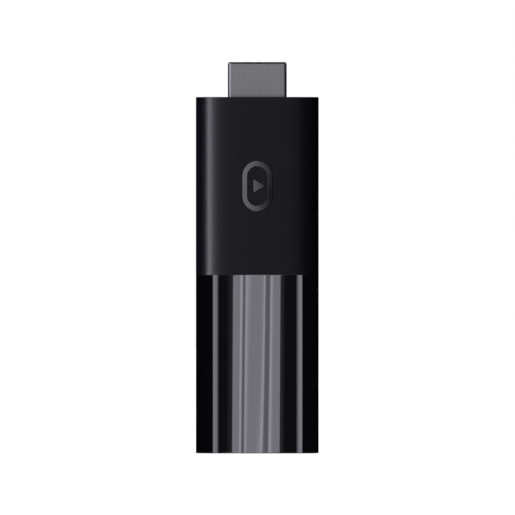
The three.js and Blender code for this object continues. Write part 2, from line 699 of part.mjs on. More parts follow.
function boardCarrier() {
  const half = RAIL_DEPTH / 2;
  const reach = RAIL_X + BITE; // stays clear of the guide ribs
  const rail = (side, low) =>
    block(limits(side, RAIL_X, RAIL_X + RAIL_THICKNESS), [-half, half], [low, RAIL_TOP_Z]);
  const arm = (side) =>
    block(limits(side, ARM.inner, RAIL_X + RAIL_THICKNESS / 2), [-half, half], [ARM.low, ARM.high]);
  const ys = [REAR_FACE + SOLDER, BAR_REAR_Y];
  const bottomBar = block([-reach, BOTTOM_BAR.right], ys, [BOTTOM_BAR.low, BOTTOM_BAR.high]);
  const topBar = block([-reach, reach], ys, [TOP_BAR.low, TOP_BAR.high]);
  const bores = SCREWS.map(({ x, z }) =>
    prism("y", circle(SCREW.shank + 0.05, x, z, 24), 0, BORE_DEPTH),
  );
  return carved(
    joined(rail(-1, LEFT_RAIL_Z), rail(1, RIGHT_RAIL_Z), arm(-1), arm(1), bottomBar, topBar),
    ...bores,
  );
}

// A pan-head screw about its own Y axis, with its head towards -Y.
function screw(index) {
  const { head, headHeight, shank, length } = SCREW;
  const profile = [
    [0, -headHeight],
    [head - 0.25, -headHeight],
    [head, 0.25 - headHeight],
    [head, 0],
    [shank, 0],
    [shank, length - 0.4],
    [shank - 0.4, length],
    [0, length],
  ].map(([radius, y]) => new THREE.Vector2(radius, y));
  const mesh = part(`board_screw_${index + 1}`, new THREE.LatheGeometry(profile, 24), MATERIALS.screwSteel);
  mesh.position.set(SCREWS[index].x, FRONT_FACE - SOLDER, SCREWS[index].z);
  return mesh;
}

// Carries the light of the status lamp through the right wall, just below the power socket.
function lightPipe() {
  const { inner, outer, front, rear, halfHeight } = PIPE_BLOCK;
  return joined(
    block([inner, outer], [front, rear], [LED_Z - halfHeight, LED_Z + halfHeight]),
    prism("x", circle(PIPE_RADIUS, 0, LED_Z, 24), outer - BITE, BODY_WIDTH / 2 - 0.08),
  );
}

export default group(
  part("upper_housing", upperHousing(), MATERIALS.matteHousing),
  part("lower_housing", lowerHousing(), MATERIALS.glossHousing),
  emblem(),
  videoPlug(),
  powerSocket(),
  electronics(),
  cooling(),
  part("board_carrier", boardCarrier(), MATERIALS.carrier),
  screw(0),
  screw(1),
  part("light_pipe", lightPipe(), MATERIALS.lightPipe),
);
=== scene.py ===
"""Looks of a streaming media stick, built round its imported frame.

The stick stands on its flat end, with its plug up and its front towards -Y. Both housings, the emblem, the
plug, the power socket's shell and the lamp's light guide are remade here as fine meshes. Everything else
keeps its shape from the frame and gets a material. Lengths are in metres, and MM turns millimetres into
metres.
"""

import json
import math

import bmesh
import bpy
import numpy as np
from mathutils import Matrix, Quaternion, Vector


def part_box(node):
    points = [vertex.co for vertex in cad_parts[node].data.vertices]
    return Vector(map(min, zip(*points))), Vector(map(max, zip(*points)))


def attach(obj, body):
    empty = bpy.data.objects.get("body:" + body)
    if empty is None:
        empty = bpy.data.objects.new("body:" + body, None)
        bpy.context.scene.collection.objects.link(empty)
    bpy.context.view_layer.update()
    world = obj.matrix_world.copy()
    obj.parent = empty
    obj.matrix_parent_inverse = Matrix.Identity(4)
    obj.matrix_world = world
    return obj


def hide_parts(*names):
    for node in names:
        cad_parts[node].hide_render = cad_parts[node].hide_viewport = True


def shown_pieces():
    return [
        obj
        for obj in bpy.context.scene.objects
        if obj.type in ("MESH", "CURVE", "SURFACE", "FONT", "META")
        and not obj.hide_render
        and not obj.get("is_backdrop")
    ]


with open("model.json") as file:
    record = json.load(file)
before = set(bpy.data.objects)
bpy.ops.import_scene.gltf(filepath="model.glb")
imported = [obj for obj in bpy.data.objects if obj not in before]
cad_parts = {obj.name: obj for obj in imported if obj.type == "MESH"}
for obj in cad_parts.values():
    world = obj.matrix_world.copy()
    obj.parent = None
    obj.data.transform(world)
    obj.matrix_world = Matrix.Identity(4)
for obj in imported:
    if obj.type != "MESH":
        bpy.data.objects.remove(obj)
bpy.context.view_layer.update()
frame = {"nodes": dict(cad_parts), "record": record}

MM = 0.001
BODY = "root"

# ---- sizes from the frame ----

UPPER_LOW, UPPER_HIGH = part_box("upper_housing")
LOWER_LOW, LOWER_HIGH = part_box("lower_housing")
PLUG_LOW, PLUG_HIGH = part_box("plug_shell")
RING_LOW, RING_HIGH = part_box("emblem_ring")
ARROW_LOW, ARROW_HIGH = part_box("emblem_arrow")
SOCKET_LOW, SOCKET_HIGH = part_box("power_socket_shell")
PIPE_LOW, PIPE_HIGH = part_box("light_pipe")

HALF_WIDTH = UPPER_HIGH.x
HALF_DEPTH = UPPER_HIGH.y
TOP_Z = UPPER_HIGH.z

# ---- dimensions of the fine meshes ----

SIDES = 384  # points round a housing
SQUARENESS = 4  # exponent of the superellipse that the housings follow
RING_STEP = 2 * MM  # height of a band of faces on a wall
WALL = 1.3 * MM
END_WALL = 1.5 * MM
END_FILLET = 0.16 * MM
SEAM_GAP = 0.004 * MM  # between the housings, narrow enough that no light shows through it
SEAM_FILLET = 0.025 * MM
SEAM_Z = UPPER_LOW.z - SEAM_GAP
SPIGOT_INSET = 0.7 * MM
REBATE_INSET = 0.63 * MM
REBATE_CLEARANCE = 0.2 * MM  # above the spigot
OPENING_FILLET = 0.12 * MM  # round the plug's opening in the end wall
SUPPORT = 0.05 * MM  # strip of faces that keeps the shading of a flat or wall next to a fillet true
FILLET_STEPS = 5
SHARPEST_SOFT_EDGE = math.radians(38)  # edges sharper than this aren't shaded smoothly

SMALLEST_CORNER = 0.05 * MM  # of a sheet's inner side
PLUG_WIDTH = 13.9 * MM
PLUG_DEPTH = PLUG_HIGH.y - PLUG_LOW.y
PLUG_SLOPE = (1.35 * MM, 1.55 * MM)
PLUG_CORNER = 0.8 * MM
PLUG_SHEET = 0.3 * MM
PLUG_LIP = 0.5 * MM
PLUG_GAP = 0.15 * MM  # between the plug and its opening
WINDOW_X = 3.3 * MM  # from the plug's middle to a latch window's
WINDOW_DROP = 4.25 * MM  # from the plug's tip
WINDOW_HALF = (1.1 * MM, 0.85 * MM)
WINDOW_CORNER = 0.25 * MM
HAIRLINE_WIDTH = 0.05 * MM  # of the folded sheet's seam
HAIRLINE_DEPTH = 0.12 * MM

SOCKET_WIDTH = 7.4 * MM
SOCKET_DEPTH = 2.5 * MM
SOCKET_SLOPE = (0.95 * MM, 0.9 * MM)
SOCKET_SHEET = 0.25 * MM
SOCKET_FLARE = 0.35 * MM
SOCKET_CORNER = 0.3 * MM
SOCKET_GAP = 0.2 * MM  # between the flared rim and its opening
SOCKET_OPENING_CORNER = 0.5 * MM
SOCKET_OPENING_CHAMFER = 0.16 * MM
SOCKET_Z = (SOCKET_LOW.z + SOCKET_HIGH.z) / 2

EMBLEM_STROKE = 1.3 * MM
EMBLEM_GAP = 0.05 * MM
EMBLEM_FILLET = 0.06 * MM
ARROW_CORNER = 0.35 * MM

PIPE_RADIUS = 0.6 * MM
PIPE_STALK = 1.75 * MM  # length of the light guide's thin end
PIPE_DOME = 0.18 * MM
PIPE_GAP = 0.05 * MM
PIPE_OPENING_CHAMFER = 0.08 * MM
PIPE_Z = (PIPE_LOW.z + PIPE_HIGH.z) / 2

# ---- the camera ----

CAMERA_LENS = 1500  # long enough that both ends of the stick look square
VIEW_HEIGHT = 121.65 * MM  # what the square frame covers at the stick
VIEW_CENTRE_Z = 46.22 * MM
VIEW_CENTRE_X = 0.05 * MM
SENSOR = 36  # width of the camera's sensor, in millimetres like the lens
CAMERA_Y = -VIEW_HEIGHT * CAMERA_LENS / SENSOR


def make_camera():
    data = bpy.data.cameras.new("camera")
    data.lens = CAMERA_LENS
    data.sensor_width = SENSOR
    data.clip_start = 0.01
    data.clip_end = 20
    camera = bpy.data.objects.new("camera", data)
    camera.location = (VIEW_CENTRE_X, CAMERA_Y, VIEW_CENTRE_Z)
    camera.rotation_euler = (math.pi / 2, 0, 0)
    bpy.context.scene.collection.objects.link(camera)
    bpy.context.scene.camera = camera


# ---- outlines: arrays of points in a plane, counter-clockwise ----


def superellipse(inset=0.0):
    """The housings' outline, moved in along its own normals by inset."""
    angle = 2 * np.pi * (np.arange(SIDES) + 0.5) / SIDES
    c, s = np.cos(angle), np.sin(angle)
    reach = (np.abs(c) ** SQUARENESS + np.abs(s) ** SQUARENESS) ** (-1 / SQUARENESS)
    points = np.stack([HALF_WIDTH * c * reach, HALF_DEPTH * s * reach], axis=1)
    scale = np.array([HALF_WIDTH, HALF_DEPTH])
    normals = np.sign(points) * np.abs(points) ** (SQUARENESS - 1) / scale**SQUARENESS
    normals /= np.linalg.norm(normals, axis=1)[:, None]
    return points - inset * normals


def d_corners(width, depth, slope, inset=0.0):
    """Six corners of a connector's outline, with two sloped ones on its +second side, moved in by inset."""
    w, d = width / 2, depth / 2
    sw, sd = slope
    points = [(-w, -d), (w, -d), (w, d - sd), (w - sw, d), (sw - w, d), (-w, d - sd)]
    return inset_polygon(np.array(points), inset)


def inset_polygon(points, distance):
    edge = np.roll(points, -1, axis=0) - points
    inward = np.stack([-edge[:, 1], edge[:, 0]], axis=1)
    inward /= np.linalg.norm(inward, axis=1)[:, None]
    before = np.roll(inward, 1, axis=0)
    share = 1 + (before * inward).sum(axis=1)
    return points + (before + inward) * (distance / share)[:, None]


def rounded(corners, radius, steps=6):
    """The polygon with an arc in place of each corner, and a point close to both ends of each arc, which
    keeps the shading of the flats true."""
    points = []
    for i, corner in enumerate(corners):
        back = corners[i - 1] - corner
        ahead = corners[(i + 1) % len(corners)] - corner
        back, ahead = back / np.linalg.norm(back), ahead / np.linalg.norm(ahead)
        half = math.acos(np.dot(back, ahead)) / 2
        middle = (back + ahead) / np.linalg.norm(back + ahead)
        centre = corner + middle * radius / math.sin(half)
        start = corner + back * radius / math.tan(half) - centre
        begin = math.atan2(start[1], start[0])
        angles = [begin + (math.pi - 2 * half) * k / steps for k in range(steps + 1)]
        turn = [centre + radius * np.array([math.cos(angle), math.sin(angle)]) for angle in angles]
        points += [turn[0] + back * SUPPORT, *turn, turn[-1] + ahead * SUPPORT]
    return np.array(points)


def at_housing_angles(outline):
    """The outline resampled where rays towards the housing outline's points cross it."""
    fine = np.concatenate([
        np.linspace(a, b, 40, endpoint=False) for a, b in zip(outline, np.roll(outline, -1, axis=0))
    ])
    angle = np.unwrap(np.arctan2(fine[:, 1], fine[:, 0]))
    housing = superellipse()
    wanted = np.arctan2(housing[:, 1], housing[:, 0])
    columns = [np.interp(wanted, angle, fine[:, i], period=2 * np.pi) for i in (0, 1)]
    return np.stack(columns, axis=1)


def capsule(width, height, inset=0.0, sides=96):
    """An upright outline with round ends."""
    angle = 2 * np.pi * (np.arange(sides) + 0.5) / sides
    radius = width / 2
    x = (radius - inset) * np.cos(angle)
    y = (radius - inset) * np.sin(angle)
    return np.stack([x, y + np.sign(y) * (height / 2 - radius)], axis=1)


# ---- meshes ----


def loop(outline, level, axis="z", centre=(0.0, 0.0)):
    """An outline as points in space. Its plane is (X, Y) for axis z, (X, Z) for y and (Y, Z) for x."""
    first, second = outline[:, 0] + centre[0], outline[:, 1] + centre[1]
    flat = np.full(len(outline), level)
    columns = {"z": (first, second, flat), "y": (first, flat, second), "x": (flat, first, second)}
    return np.stack(columns[axis], axis=1)


def stack(name, loops, ring=False):
    """One closed mesh through loops of equal length. It is capped at both ends, or joined last to first."""
    count = len(loops[0])
    faces = []
    pairs = [(i, i + 1) for i in range(len(loops) - 1)]
    if ring:
        pairs.append((len(loops) - 1, 0))
    for low, high in pairs:
        for i in range(count):
            j = (i + 1) % count
            faces.append((low * count + i, low * count + j, high * count + j, high * count + i))
    if not ring:
        faces.append(tuple(reversed(range(count))))
        faces.append(tuple((len(loops) - 1) * count + i for i in range(count)))
    mesh = bpy.data.meshes.new(name)
    mesh.from_pydata(np.concatenate(loops).tolist(), [], faces)
    piece = bpy.data.objects.new(name, mesh)
    bpy.context.scene.collection.objects.link(piece)
    tidy_normals(piece)
    return piece


def tidy_normals(piece):
    """Faces point outwards and shade smoothly, except across sharp edges."""
    grid = bmesh.new()
    grid.from_mesh(piece.data)
    bmesh.ops.recalc_face_normals(grid, faces=grid.faces)
    for face in grid.faces:
        face.smooth = True
    for edge in grid.edges:
        edge.smooth = len(edge.link_faces) == 2 and edge.calc_face_angle() < SHARPEST_SOFT_EDGE
    grid.to_mesh(piece.data)
    grid.free()


def volume(mesh):
    grid = bmesh.new()
    grid.from_mesh(mesh)
    size = grid.calc_volume()
    grid.free()
    return size


def cut(piece, *tools):
    """Takes the tools out of the piece, and deletes them. Stops if the cut took most of the piece."""
    whole = volume(piece.data)
    for tool in tools:
        modifier = piece.modifiers.new("cut", "BOOLEAN")
        modifier.operation = "DIFFERENCE"
        modifier.solver = "EXACT"
        modifier.object = tool
    graph = bpy.context.evaluated_depsgraph_get()
    mesh = bpy.data.meshes.new_from_object(piece.evaluated_get(graph))
    piece.modifiers.clear()
    piece.data = mesh
    if volume(mesh) < whole / 2:
        raise ValueError(f"a cut destroyed {piece.name}")
    for tool in tools:
        bpy.data.objects.remove(tool)
    tidy_normals(piece)


def arc(radius, steps=FILLET_STEPS):
    """Offsets (along the wall, in from the wall) of a quarter-round edge, from the wall to the flat."""
    angles = [math.pi / 2 * i / steps for i in range(steps + 1)]
    return [(radius * math.sin(a), radius * (1 - math.cos(a))) for a in angles]


def wall_levels(low, high):
    """Heights of the bands of a wall, both ends included."""
    count = max(1, round((high - low) / RING_STEP))
    return np.linspace(low, high, count + 1)


def placed(piece, material_slot, *nodes):
    """The piece rides on the body, stands for the nodes and is finished as the slot says."""
    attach(piece, BODY)
    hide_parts(*nodes)
    piece.data.materials.clear()
    piece.data.materials.append(MATERIALS[material_slot])
    return piece


# ---- housings ----


def upper_housing():
    """Sleeve with an end wall that the plug stands out of. One ring of loops from the seam, up and round."""
    inside_top = TOP_Z - END_WALL
    rebate_top = LOWER_HIGH.z + REBATE_CLEARANCE
    low, high = UPPER_LOW.z, TOP_Z

    def wall(z, inset):
        return loop(superellipse(inset), z)

    def opening(z, extra=0.0):
        corners = d_corners(PLUG_WIDTH, PLUG_DEPTH, PLUG_SLOPE, -PLUG_GAP - extra)
        return loop(at_housing_angles(rounded(corners, PLUG_CORNER + PLUG_GAP + extra)), z)

    loops = [wall(low, SEAM_FILLET + SUPPORT)]
    loops += [wall(low + SEAM_FILLET - along, inset) for along, inset in reversed(arc(SEAM_FILLET))]
    loops += [wall(z, 0) for z in wall_levels(low + SEAM_FILLET + SUPPORT, high - END_FILLET - SUPPORT)]
    loops += [wall(high - END_FILLET + along, inset) for along, inset in arc(END_FILLET)]
    loops += [wall(high, END_FILLET + SUPPORT)]
    loops += [opening(high, OPENING_FILLET + SUPPORT)]
    loops += [opening(high - OPENING_FILLET + along, inset) for along, inset in reversed(arc(OPENING_FILLET))]
    loops += [opening(inside_top), wall(inside_top, WALL + SUPPORT), wall(inside_top, WALL)]
    loops += [wall(rebate_top, WALL), wall(rebate_top, REBATE_INSET), wall(low, REBATE_INSET)]
    piece = stack("upper_shell", loops, ring=True)
    floor = RING_HIGH.y + EMBLEM_GAP
    cut(piece, emblem_cutter(floor), arrow_cutter(floor))
    return placed(piece, "matte_housing", "upper_housing")


def lower_housing():
    """Cup with a spigot round its mouth, open on the right for the power socket and the lamp."""

    def wall(z, inset):
        return loop(superellipse(inset), z)

    low, high = LOWER_LOW.z, SEAM_Z
    loops = [wall(low, 4 * END_FILLET), wall(low, END_FILLET + SUPPORT)]
    loops += [wall(low + END_FILLET - along, inset) for along, inset in reversed(arc(END_FILLET))]
    loops += [wall(z, 0) for z in wall_levels(low + END_FILLET + SUPPORT, high - SEAM_FILLET - SUPPORT)]
    loops += [wall(high - SEAM_FILLET + along, inset) for along, inset in arc(SEAM_FILLET)]
    loops += [wall(high, SPIGOT_INSET), wall(LOWER_HIGH.z, SPIGOT_INSET), wall(LOWER_HIGH.z, WALL)]
    loops += [wall(low + END_WALL, WALL)]
    piece = stack("lower_shell", loops)
    cut(piece, socket_cutter(), pipe_cutter())
    return placed(piece, "gloss_housing", "lower_housing")


def emblem_cutter(floor):
    """A capsule ring, a little wider than the inlay on both sides of its stroke."""
    width, height, centre = emblem_size()
    front = -HALF_DEPTH - MM
    outer, inner = -EMBLEM_GAP, EMBLEM_STROKE + EMBLEM_GAP
    corners = [(front, outer), (floor, outer), (floor, inner), (front, inner)]
    loops = [loop(capsule(width, height, inset), y, "y", centre) for y, inset in corners]
    return stack("emblem_cutter", loops, ring=True)


def arrow_cutter(floor):
    outline = arrow_outline(-EMBLEM_GAP)
    return stack("arrow_cutter", [loop(outline, y, "y") for y in (-HALF_DEPTH - MM, floor)])


def flared_cutter(name, outline_at, flare):
    """A cutter along X through the right wall. Its last stretch widens, which chamfers the hole's edge."""
    inner = HALF_WIDTH - 2 * WALL
    mouth = HALF_WIDTH - flare
    far = HALF_WIDTH + MM
    levels = [(inner, 0.0), (mouth, 0.0), (far, flare + MM)]
    return stack(name, [loop(outline_at(extra), x, "x") for x, extra in levels])


def socket_cutter():
    def outline_at(extra):
        return socket_outline(-SOCKET_FLARE - SOCKET_GAP - extra, SOCKET_OPENING_CORNER + extra)

    return flared_cutter("socket_cutter", outline_at, SOCKET_OPENING_CHAMFER)


def pipe_cutter():
    def outline_at(extra):
        return circle(PIPE_RADIUS + PIPE_GAP + extra, PIPE_Z)

    return flared_cutter("pipe_cutter", outline_at, PIPE_OPENING_CHAMFER)


def circle(radius, second, sides=48):
    angle = 2 * np.pi * (np.arange(sides) + 0.5) / sides
    return np.stack([radius * np.cos(angle), second + radius * np.sin(angle)], axis=1)


# ---- emblem ----


def emblem_size():
    width, height = RING_HIGH.x - RING_LOW.x, RING_HIGH.z - RING_LOW.z
    return width, height, (0.0, (RING_LOW.z + RING_HIGH.z) / 2)


def arrow_outline(inset=0.0):
    """A rounded triangle that points to +X."""
    centre = np.array([0.0, (ARROW_LOW.z + ARROW_HIGH.z) / 2])
    half_height = (ARROW_HIGH.z - ARROW_LOW.z) / 2
    radius = ARROW_CORNER + (half_height - ARROW_CORNER) * 2 / math.sqrt(3) + ARROW_CORNER
    angles = [2 * math.pi * i / 3 for i in range(3)]
    corners = np.array([[radius * math.cos(a), radius * math.sin(a)] for a in angles])
    return rounded(inset_polygon(corners, inset), ARROW_CORNER - inset) + centre


def emblem():
    width, height, centre = emblem_size()
    face, back = RING_LOW.y, RING_HIGH.y
    fillet = arc(EMBLEM_FILLET)

    def ring_loop(y, inset):
        return loop(capsule(width, height, inset), y, "y", centre)

    outer = [ring_loop(face + EMBLEM_FILLET - along, inset) for along, inset in fillet]
    inner = [ring_loop(face + EMBLEM_FILLET - along, EMBLEM_STROKE - inset) for along, inset in fillet]
    supports = [ring_loop(face, EMBLEM_FILLET + SUPPORT)]
    supports += [ring_loop(face, EMBLEM_STROKE - EMBLEM_FILLET - SUPPORT)]
    loops = [ring_loop(back, 0.0), *outer, *supports, *reversed(inner), ring_loop(back, EMBLEM_STROKE)]
    placed(stack("emblem_capsule", loops, ring=True), "emblem_gloss", "emblem_ring")

    rim = [loop(arrow_outline(inset), face + EMBLEM_FILLET - along, "y") for along, inset in fillet]
    support = loop(arrow_outline(EMBLEM_FILLET + SUPPORT), face, "y")
    triangle = stack("emblem_triangle", [loop(arrow_outline(), back, "y"), *rim, support])
    placed(triangle, "emblem_gloss", "emblem_arrow")


# ---- plug ----


def plug():
    """Folded sheet shell with a rolled lip, a butt seam and two latch windows along its rear side."""

    def sheet_loop(z, inset):
        corners = d_corners(PLUG_WIDTH, PLUG_DEPTH, PLUG_SLOPE, inset)
        return loop(rounded(corners, max(PLUG_CORNER - inset, SMALLEST_CORNER)), z)

    low, tip = PLUG_LOW.z + 2 * MM, PLUG_HIGH.z
    roll = arc(PLUG_LIP, 8)
    throat = PLUG_LIP + 0.05 * MM
    loops = [sheet_loop(low, 0.0), sheet_loop(tip - PLUG_LIP - SUPPORT, 0.0)]
    loops += [sheet_loop(tip - PLUG_LIP + along, inset) for along, inset in roll[:-1]]
    loops += [sheet_loop(tip, PLUG_LIP), sheet_loop(tip - 0.1 * MM, throat)]
    loops += [sheet_loop(tip - 0.35 * MM, throat), sheet_loop(tip - 0.75 * MM, PLUG_SHEET)]
    loops += [sheet_loop(low, PLUG_SHEET)]
    shell = stack("plug_sleeve", loops, ring=True)
    rear = PLUG_HIGH.y
    windows = [window_cutter(side * WINDOW_X, rear) for side in (-1, 1)]
    cut(shell, *windows, seam_cutter(rear))
    return placed(shell, "plug_metal", "plug_shell")


def window_cutter(x, rear):
    """A latch window with small corner radii."""
    z = PLUG_HIGH.z - WINDOW_DROP
    corners = np.array([[-1, -1], [1, -1], [1, 1], [-1, 1]]) * np.array(WINDOW_HALF)
    outline = rounded(corners, WINDOW_CORNER)
    return stack("window_cutter", [loop(outline, y, "y", (x, z)) for y in (rear - 0.6 * MM, rear + MM)])


def seam_cutter(rear):
    """The hairline where the folded sheet's edges meet, with one dovetail in it."""
    low, high = TOP_Z - 2 * MM, PLUG_HIGH.z - PLUG_LIP - 0.3 * MM
    middle = (TOP_Z + high) / 2
    tail, neck, flare = 1.0 * MM, 0.5 * MM, 0.3 * MM
    turns = [(0.0, low), (0.0, middle - neck), (-tail, middle - neck - flare)]
    turns += [(-tail, middle + neck + flare), (0.0, middle + neck), (0.0, high)]
    path = hairline(np.array(turns), HAIRLINE_WIDTH)
    return stack("seam_cutter", [loop(path, y, "y") for y in (rear - HAIRLINE_DEPTH, rear + MM)])


def hairline(path, width):
    """Outline of a line of even width along a path, with mitred corners."""
    along = np.diff(path, axis=0)
    along /= np.linalg.norm(along, axis=1)[:, None]
    normal = np.stack([-along[:, 1], along[:, 0]], axis=1)
    before = np.concatenate([normal[:1], normal])
    after = np.concatenate([normal, normal[-1:]])
    mitre = (before + after) / (1 + (before * after).sum(axis=1))[:, None] * width / 2
    return np.concatenate([path - mitre, (path + mitre)[::-1]])


# ---- power socket and lamp ----


def socket_outline(inset, radius):
    """The micro-B outline in (Y, Z), with its sloped side towards +Y."""
    corners = d_corners(SOCKET_WIDTH, SOCKET_DEPTH, SOCKET_SLOPE, inset)
    turned = np.stack([corners[:, 1], -corners[:, 0]], axis=1)
    return rounded(turned, radius) + np.array([0.0, SOCKET_Z])


def power_socket():
    """Sheet shell whose mouth flares out into a rim."""
    mouth, rear = SOCKET_HIGH.x, SOCKET_LOW.x

    def sheet_loop(x, inset):
        return loop(socket_outline(inset, max(SOCKET_CORNER - inset, SMALLEST_CORNER)), x, "x")

    bend = arc(SOCKET_FLARE, 6)
    loops = [sheet_loop(rear, 0.0)]
    loops += [sheet_loop(mouth - SOCKET_SHEET - SOCKET_FLARE + along, -inset) for along, inset in bend]
    loops += [sheet_loop(mouth, -SOCKET_FLARE), sheet_loop(mouth, -SOCKET_FLARE + SUPPORT)]
    for along, inset in reversed(bend):
        loops.append(sheet_loop(mouth - SOCKET_FLARE + along, SOCKET_SHEET - inset))
    loops += [sheet_loop(rear, SOCKET_SHEET)]
    return placed(stack("socket_sleeve", loops, ring=True), "socket_metal", "power_socket_shell")


def lamp_lens():
    """The light guide's block inside, and its stalk through the wall with a domed end."""
    step = PIPE_HIGH.x - PIPE_STALK
    half = (PIPE_HIGH.z - PIPE_LOW.z) / 2
    levels = [(PIPE_LOW.x, half), (step - 0.1 * MM, half), (step, PIPE_RADIUS)]
    levels += [(PIPE_HIGH.x - PIPE_DOME, PIPE_RADIUS)]
    for i in range(1, 6):
        angle = math.pi / 2 * i / 6
        along = PIPE_DOME * math.sin(angle)
        levels.append((PIPE_HIGH.x - PIPE_DOME + along, PIPE_RADIUS * math.cos(angle)))
    stalk = stack("lamp_lens", [loop(circle(radius, PIPE_Z), x, "x") for x, radius in levels])
    return placed(stalk, "clear_plastic", "light_pipe")


# ---- materials ----


class Finish:
    """A Principled material whose colour, roughness and relief vary by noise in the stick's own space."""

    def __init__(self, name, metallic=0.0, **sockets):
        self.material = bpy.data.materials.new(name)
        self.material.use_nodes = True
        self.tree = self.material.node_tree
        self.shader = self.tree.nodes["Principled BSDF"]
        self.shader.inputs["Metallic"].default_value = metallic
        for socket, value in sockets.items():
            self.shader.inputs[socket.replace("_", " ")].default_value = value
        self.place = self.tree.nodes.new("ShaderNodeTexCoord").outputs["Object"]
        self.height = None

    def noise(self, size, stretch=(1, 1, 1), detail=3.0, shift=0.0):
        """Noise with features about size across, in metres, and stretched by that much along each axis."""
        mapping = self.tree.nodes.new("ShaderNodeMapping")
        mapping.inputs["Scale"].default_value = [1 / (size * s) for s in stretch]
        mapping.inputs["Location"].default_value = (shift, shift, shift)
        self.tree.links.new(self.place, mapping.inputs["Vector"])
        noise = self.tree.nodes.new("ShaderNodeTexNoise")
        noise.inputs["Scale"].default_value = 1.0
        noise.inputs["Detail"].default_value = detail
        self.tree.links.new(mapping.outputs["Vector"], noise.inputs["Vector"])
        return noise.outputs["Fac"]

    def between(self, factor, low, high, socket):
        """Drives a socket from low to high as the noise goes over the middle of its range."""
        node = self.tree.nodes.new("ShaderNodeMapRange")
        node.inputs["From Min"].default_value = 0.3
        node.inputs["From Max"].default_value = 0.7
        node.inputs["To Min"].default_value = low
        node.inputs["To Max"].default_value = high
        self.tree.links.new(factor, node.inputs["Value"])
        self.tree.links.new(node.outputs["Result"], self.shader.inputs[socket])
        return self

    def colour(self, factor, dark, light):
        node = self.tree.nodes.new("ShaderNodeValToRGB")
        node.color_ramp.elements[0].position = 0.3
        node.color_ramp.elements[0].color = (*dark, 1)
        node.color_ramp.elements[1].position = 0.7
        node.color_ramp.elements[1].color = (*light, 1)
        self.tree.links.new(factor, node.inputs["Fac"])
        self.tree.links.new(node.outputs["Color"], self.shader.inputs["Base Color"])
        return self

    def relief(self, factor, depth):
        """Adds relief of that depth, in metres, on top of any relief added before."""
        node = self.tree.nodes.new("ShaderNodeBump")
        node.inputs["Distance"].default_value = depth
        self.tree.links.new(factor, node.inputs["Height"])
        if self.height:
            self.tree.links.new(self.height, node.inputs["Normal"])
        self.height = node.outputs["Normal"]
        self.tree.links.new(self.height, self.shader.inputs["Normal"])
        return self


def plain_finish(name, dark, light, roughness, grain, depth, stretch=(1, 1, 1), **sockets):
    """The finish of a small part: mottled colour, uneven roughness and a fine relief."""
    made = Finish(name, **sockets)
    made.colour(made.noise(8 * grain, stretch, shift=1.0), dark, light)
    made.between(made.noise(5 * grain, stretch, shift=2.0), *roughness, "Roughness")
    made.relief(made.noise(grain, stretch), depth)
    return made.material


def matte_housing():
    made = Finish("matte_housing", IOR=1.5)
    made.colour(made.noise(6 * MM), (0.0038, 0.0036, 0.0066), (0.0046, 0.0043, 0.0078))
    made.between(made.noise(1.5 * MM, detail=5.0, shift=3.0), 0.28, 0.32, "Roughness")
    made.relief(made.noise(0.11 * MM, detail=1.0), 0.0022 * MM)
    return made.material


def gloss_housing():
    """Polished plastic: near-black, with the slow waviness of a moulding and faint handling marks."""
    made = Finish("gloss_housing", IOR=1.5)
    made.colour(made.noise(5 * MM), (0.0018, 0.0018, 0.0024), (0.0024, 0.0024, 0.0032))
    made.between(made.noise(3 * MM, detail=6.0, shift=4.0), 0.01, 0.02, "Roughness")
    made.relief(made.noise(5 * MM, (1, 1, 5), detail=1.0), 0.0004 * MM)
    return made.material


